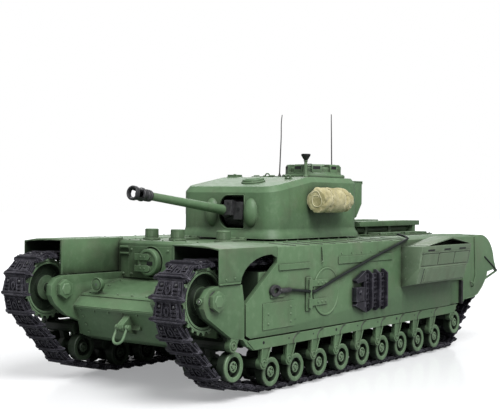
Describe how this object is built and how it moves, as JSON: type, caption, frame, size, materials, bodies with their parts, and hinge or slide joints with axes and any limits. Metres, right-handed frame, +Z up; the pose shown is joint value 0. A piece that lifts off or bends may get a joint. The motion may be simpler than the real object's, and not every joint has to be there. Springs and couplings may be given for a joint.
{
  "type": "radio-controlled model tank",
  "caption": "Scale radio-controlled model of a heavy infantry tank with turning turret, elevating and recoiling gun, and tracks that wrap right round tall side frames.",
  "frame": {"origin": "on the ground, under the middle of the tank's outer box", "axes": "+Z up, the front of the tank faces -Y, the tank's left side is +X"},
  "size_m": [0.22, 0.4662, 0.2075],
  "materials": {
    "green_armour": "satin green paint with brown and black airbrushed weathering",
    "track": "blackened, with brighter rubbed edges",
    "gunmetal": "dark grey, satin",
    "canvas": "khaki canvas, creased",
    "cable": "twisted wire rope, dark green-black",
    "aerial": "thin dark wire",
    "gearbox_metal": "plain die-cast",
    "battery_wrap": "shrink wrap",
    "circuit_board": "green lacquer",
    "black_plastic": "moulded black"
  },
  "bodies": {
    "hull": {"battery_pack": "battery_wrap", "control_board": "circuit_board", "drive_gearbox": "gearbox_metal", "engine_deck": "green_armour", "left_air_intake": "green_armour", "left_front_mudguard": "green_armour", "left_side_armour": "green_armour", "left_track": "track", "left_track_frame": "green_armour", "lower_hull": "green_armour", "right_air_intake": "green_armour", "right_front_mudguard": "green_armour", "right_side_armour": "green_armour", "right_track": "track", "right_track_frame": "green_armour", "spare_track_links": "track", "tow_cable": "cable", "traverse_motor": "gearbox_metal", "upper_hull": "green_armour"},
    "turret": {"turret_shell": "green_armour", "turret_ring_gear": "gearbox_metal", "stowage_bin": "green_armour", "canvas_roll": "canvas", "receiver_post": "black_plastic", "left_aerial": "aerial", "right_aerial": "aerial", "cupola": "green_armour"},
    "mantlet": {"mantlet": "gunmetal"},
    "gun": {"gun_barrel": "green_armour", "muzzle_brake": "gunmetal"},
    "cupola_hatch": {"cupola_hatch": "green_armour"},
    "driver_visor": {"driver_visor": "green_armour"},
    "hull_machine_gun": {"hull_machine_gun": "gunmetal"},
    "tow_shackle": {"tow_shackle": "green_armour"},
    "left_drive_sprocket": {"left_drive_sprocket": "green_armour"},
    "left_idler_wheel": {"left_idler_wheel": "green_armour"},
    "left_road_wheel_01": {"left_road_wheel_01": "green_armour"},
    "left_road_wheel_02": {"left_road_wheel_02": "green_armour"},
    "left_road_wheel_03": {"left_road_wheel_03": "green_armour"},
    "left_road_wheel_04": {"left_road_wheel_04": "green_armour"},
    "left_road_wheel_05": {"left_road_wheel_05": "green_armour"},
    "left_road_wheel_06": {"left_road_wheel_06": "green_armour"},
    "left_road_wheel_07": {"left_road_wheel_07": "green_armour"},
    "left_road_wheel_08": {"left_road_wheel_08": "green_armour"},
    "left_road_wheel_09": {"left_road_wheel_09": "green_armour"},
    "left_road_wheel_10": {"left_road_wheel_10": "green_armour"},
    "left_road_wheel_11": {"left_road_wheel_11": "green_armour"},
    "right_drive_sprocket": {"right_drive_sprocket": "green_armour"},
    "right_idler_wheel": {"right_idler_wheel": "green_armour"},
    "right_road_wheel_01": {"right_road_wheel_01": "green_armour"},
    "right_road_wheel_02": {"right_road_wheel_02": "green_armour"},
    "right_road_wheel_03": {"right_road_wheel_03": "green_armour"},
    "right_road_wheel_04": {"right_road_wheel_04": "green_armour"},
    "right_road_wheel_05": {"right_road_wheel_05": "green_armour"},
    "right_road_wheel_06": {"right_road_wheel_06": "green_armour"},
    "right_road_wheel_07": {"right_road_wheel_07": "green_armour"},
    "right_road_wheel_08": {"right_road_wheel_08": "green_armour"},
    "right_road_wheel_09": {"right_road_wheel_09": "green_armour"},
    "right_road_wheel_10": {"right_road_wheel_10": "green_armour"},
    "right_road_wheel_11": {"right_road_wheel_11": "green_armour"}
  },
  "joints": [
    {"name": "turret_traverse", "type": "hinge", "parent": "hull", "child": "turret", "pos_m": [0, -0.013, 0.1016], "axis": [0, 0, 1], "range_deg": [-150, 150]},
    {"name": "gun_elevation", "type": "hinge", "parent": "turret", "child": "mantlet", "pos_m": [0, -0.066, 0.1224], "axis": [-1, 0, 0], "range_deg": [-12.7, 11.3], "stiffness_Nm_per_rad": 0.05, "springref_deg": 3.58},
    {"name": "gun_recoil", "type": "slide", "parent": "mantlet", "child": "gun", "axis": [0, 0.9932, -0.1167], "range_m": [0, 0.01], "stiffness_N_per_m": 200},
    {"name": "cupola_hatch_hinge", "type": "hinge", "parent": "turret", "child": "cupola_hatch", "pos_m": [0.015, 0.0385, 0.1619], "axis": [-1, 0, 0], "range_deg": [0, 110]},
    {"name": "driver_visor_hinge", "type": "hinge", "parent": "hull", "child": "driver_visor", "pos_m": [-0.0293, -0.1494, 0.0859], "axis": [0, 0, -1], "range_deg": [0, 110]},
    {"name": "hull_gun_swing", "type": "hinge", "parent": "hull", "child": "hull_machine_gun", "pos_m": [0.0215, -0.1516, 0.0859], "axis": [0, 0, 1], "range_deg": [-12, 12]},
    {"name": "tow_shackle_swing", "type": "hinge", "parent": "hull", "child": "tow_shackle", "pos_m": [0.004, -0.1992, 0.0447], "axis": [-1, 0, 0], "range_deg": [-28, 60], "stiffness_Nm_per_rad": 0.00005, "springref_deg": 4.81},
    {"name": "left_sprocket_spin", "type": "hinge", "parent": "hull", "child": "left_drive_sprocket", "pos_m": [0.0697, 0.1862, 0.064], "axis": [1, 0, 0], "continuous": true},
    {"name": "left_idler_spin", "type": "hinge", "parent": "hull", "child": "left_idler_wheel", "pos_m": [0.0697, -0.2069, 0.0685], "axis": [1, 0, 0], "continuous": true},
    {"name": "left_road_wheel_01_spin", "type": "hinge", "parent": "hull", "child": "left_road_wheel_01", "pos_m": [0.0697, -0.183, 0.024], "axis": [1, 0, 0], "continuous": true},
    {"name": "left_road_wheel_02_spin", "type": "hinge", "parent": "hull", "child": "left_road_wheel_02", "pos_m": [0.0697, -0.1411, 0.0157], "axis": [1, 0, 0], "continuous": true},
    {"name": "left_road_wheel_03_spin", "type": "hinge", "parent": "hull", "child": "left_road_wheel_03", "pos_m": [0.0697, -0.111, 0.0151], "axis": [1, 0, 0], "continuous": true},
    {"name": "left_road_wheel_04_spin", "type": "hinge", "parent": "hull", "child": "left_road_wheel_04", "pos_m": [0.0697, -0.0799, 0.0151], "axis": [1, 0, 0], "continuous": true},
    {"name": "left_road_wheel_05_spin", "type": "hinge", "parent": "hull", "child": "left_road_wheel_05", "pos_m": [0.0697, -0.0488, 0.0151], "axis": [1, 0, 0], "continuous": true},
    {"name": "left_road_wheel_06_spin", "type": "hinge", "parent": "hull", "child": "left_road_wheel_06", "pos_m": [0.0697, -0.0177, 0.0151], "axis": [1, 0, 0], "continuous": true},
    {"name": "left_road_wheel_07_spin", "type": "hinge", "parent": "hull", "child": "left_road_wheel_07", "pos_m": [0.0697, 0.0134, 0.0151], "axis": [1, 0, 0], "continuous": true},
    {"name": "left_road_wheel_08_spin", "type": "hinge", "parent": "hull", "child": "left_road_wheel_08", "pos_m": [0.0697, 0.0445, 0.0151], "axis": [1, 0, 0], "continuous": true},
    {"name": "left_road_wheel_09_spin", "type": "hinge", "parent": "hull", "child": "left_road_wheel_09", "pos_m": [0.0697, 0.0756, 0.0151], "axis": [1, 0, 0], "continuous": true},
    {"name": "left_road_wheel_10_spin", "type": "hinge", "parent": "hull", "child": "left_road_wheel_10", "pos_m": [0.0697, 0.1067, 0.0151], "axis": [1, 0, 0], "continuous": true},
    {"name": "left_road_wheel_11_spin", "type": "hinge", "parent": "hull", "child": "left_road_wheel_11", "pos_m": [0.0697, 0.1467, 0.0235], "axis": [1, 0, 0], "continuous": true},
    {"name": "right_sprocket_spin", "type": "hinge", "parent": "hull", "child": "right_drive_sprocket", "pos_m": [-0.0697, 0.1862, 0.064], "axis": [1, 0, 0], "continuous": true},
    {"name": "right_idler_spin", "type": "hinge", "parent": "hull", "child": "right_idler_wheel", "pos_m": [-0.0697, -0.2069, 0.0685], "axis": [1, 0, 0], "continuous": true},
    {"name": "right_road_wheel_01_spin", "type": "hinge", "parent": "hull", "child": "right_road_wheel_01", "pos_m": [-0.0697, -0.18, 0.024], "axis": [1, 0, 0], "continuous": true},
    {"name": "right_road_wheel_02_spin", "type": "hinge", "parent": "hull", "child": "right_road_wheel_02", "pos_m": [-0.0697, -0.1411, 0.0157], "axis": [1, 0, 0], "continuous": true},
    {"name": "right_road_wheel_03_spin", "type": "hinge", "parent": "hull", "child": "right_road_wheel_03", "pos_m": [-0.0697, -0.111, 0.0151], "axis": [1, 0, 0], "continuous": true},
    {"name": "right_road_wheel_04_spin", "type": "hinge", "parent": "hull", "child": "right_road_wheel_04", "pos_m": [-0.0697, -0.0799, 0.0151], "axis": [1, 0, 0], "continuous": true},
    {"name": "right_road_wheel_05_spin", "type": "hinge", "parent": "hull", "child": "right_road_wheel_05", "pos_m": [-0.0697, -0.0488, 0.0151], "axis": [1, 0, 0], "continuous": true},
    {"name": "right_road_wheel_06_spin", "type": "hinge", "parent": "hull", "child": "right_road_wheel_06", "pos_m": [-0.0697, -0.0177, 0.0151], "axis": [1, 0, 0], "continuous": true},
    {"name": "right_road_wheel_07_spin", "type": "hinge", "parent": "hull", "child": "right_road_wheel_07", "pos_m": [-0.0697, 0.0134, 0.0151], "axis": [1, 0, 0], "continuous": true},
    {"name": "right_road_wheel_08_spin", "type": "hinge", "parent": "hull", "child": "right_road_wheel_08", "pos_m": [-0.0697, 0.0445, 0.0151], "axis": [1, 0, 0], "continuous": true},
    {"name": "right_road_wheel_09_spin", "type": "hinge", "parent": "hull", "child": "right_road_wheel_09", "pos_m": [-0.0697, 0.0756, 0.0151], "axis": [1, 0, 0], "continuous": true},
    {"name": "right_road_wheel_10_spin", "type": "hinge", "parent": "hull", "child": "right_road_wheel_10", "pos_m": [-0.0697, 0.1067, 0.0151], "axis": [1, 0, 0], "continuous": true},
    {"name": "right_road_wheel_11_spin", "type": "hinge", "parent": "hull", "child": "right_road_wheel_11", "pos_m": [-0.0697, 0.1467, 0.0235], "axis": [1, 0, 0], "continuous": true}
  ],
  "couplings": [
    {"joint": "left_idler_spin", "follows": "left_sprocket_spin", "ratio": 1},
    {"joint": "left_road_wheel_01_spin", "follows": "left_sprocket_spin", "ratio": 2.0882},
    {"joint": "left_road_wheel_02_spin", "follows": "left_sprocket_spin", "ratio": 2.0882},
    {"joint": "left_road_wheel_03_spin", "follows": "left_sprocket_spin", "ratio": 2.0882},
    {"joint": "left_road_wheel_04_spin", "follows": "left_sprocket_spin", "ratio": 2.0882},
    {"joint": "left_road_wheel_05_spin", "follows": "left_sprocket_spin", "ratio": 2.0882},
    {"joint": "left_road_wheel_06_spin", "follows": "left_sprocket_spin", "ratio": 2.0882},
    {"joint": "left_road_wheel_07_spin", "follows": "left_sprocket_spin", "ratio": 2.0882},
    {"joint": "left_road_wheel_08_spin", "follows": "left_sprocket_spin", "ratio": 2.0882},
    {"joint": "left_road_wheel_09_spin", "follows": "left_sprocket_spin", "ratio": 2.0882},
    {"joint": "left_road_wheel_10_spin", "follows": "left_sprocket_spin", "ratio": 2.0882},
    {"joint": "left_road_wheel_11_spin", "follows": "left_sprocket_spin", "ratio": 2.0882},
    {"joint": "right_idler_spin", "follows": "right_sprocket_spin", "ratio": 1},
    {"joint": "right_road_wheel_01_spin", "follows": "right_sprocket_spin", "ratio": 2.0882},
    {"joint": "right_road_wheel_02_spin", "follows": "right_sprocket_spin", "ratio": 2.0882},
    {"joint": "right_road_wheel_03_spin", "follows": "right_sprocket_spin", "ratio": 2.0882},
    {"joint": "right_road_wheel_04_spin", "follows": "right_sprocket_spin", "ratio": 2.0882},
    {"joint": "right_road_wheel_05_spin", "follows": "right_sprocket_spin", "ratio": 2.0882},
    {"joint": "right_road_wheel_06_spin", "follows": "right_sprocket_spin", "ratio": 2.0882},
    {"joint": "right_road_wheel_07_spin", "follows": "right_sprocket_spin", "ratio": 2.0882},
    {"joint": "right_road_wheel_08_spin", "follows": "right_sprocket_spin", "ratio": 2.0882},
    {"joint": "right_road_wheel_09_spin", "follows": "right_sprocket_spin", "ratio": 2.0882},
    {"joint": "right_road_wheel_10_spin", "follows": "right_sprocket_spin", "ratio": 2.0882},
    {"joint": "right_road_wheel_11_spin", "follows": "right_sprocket_spin", "ratio": 2.0882}
  ]
}
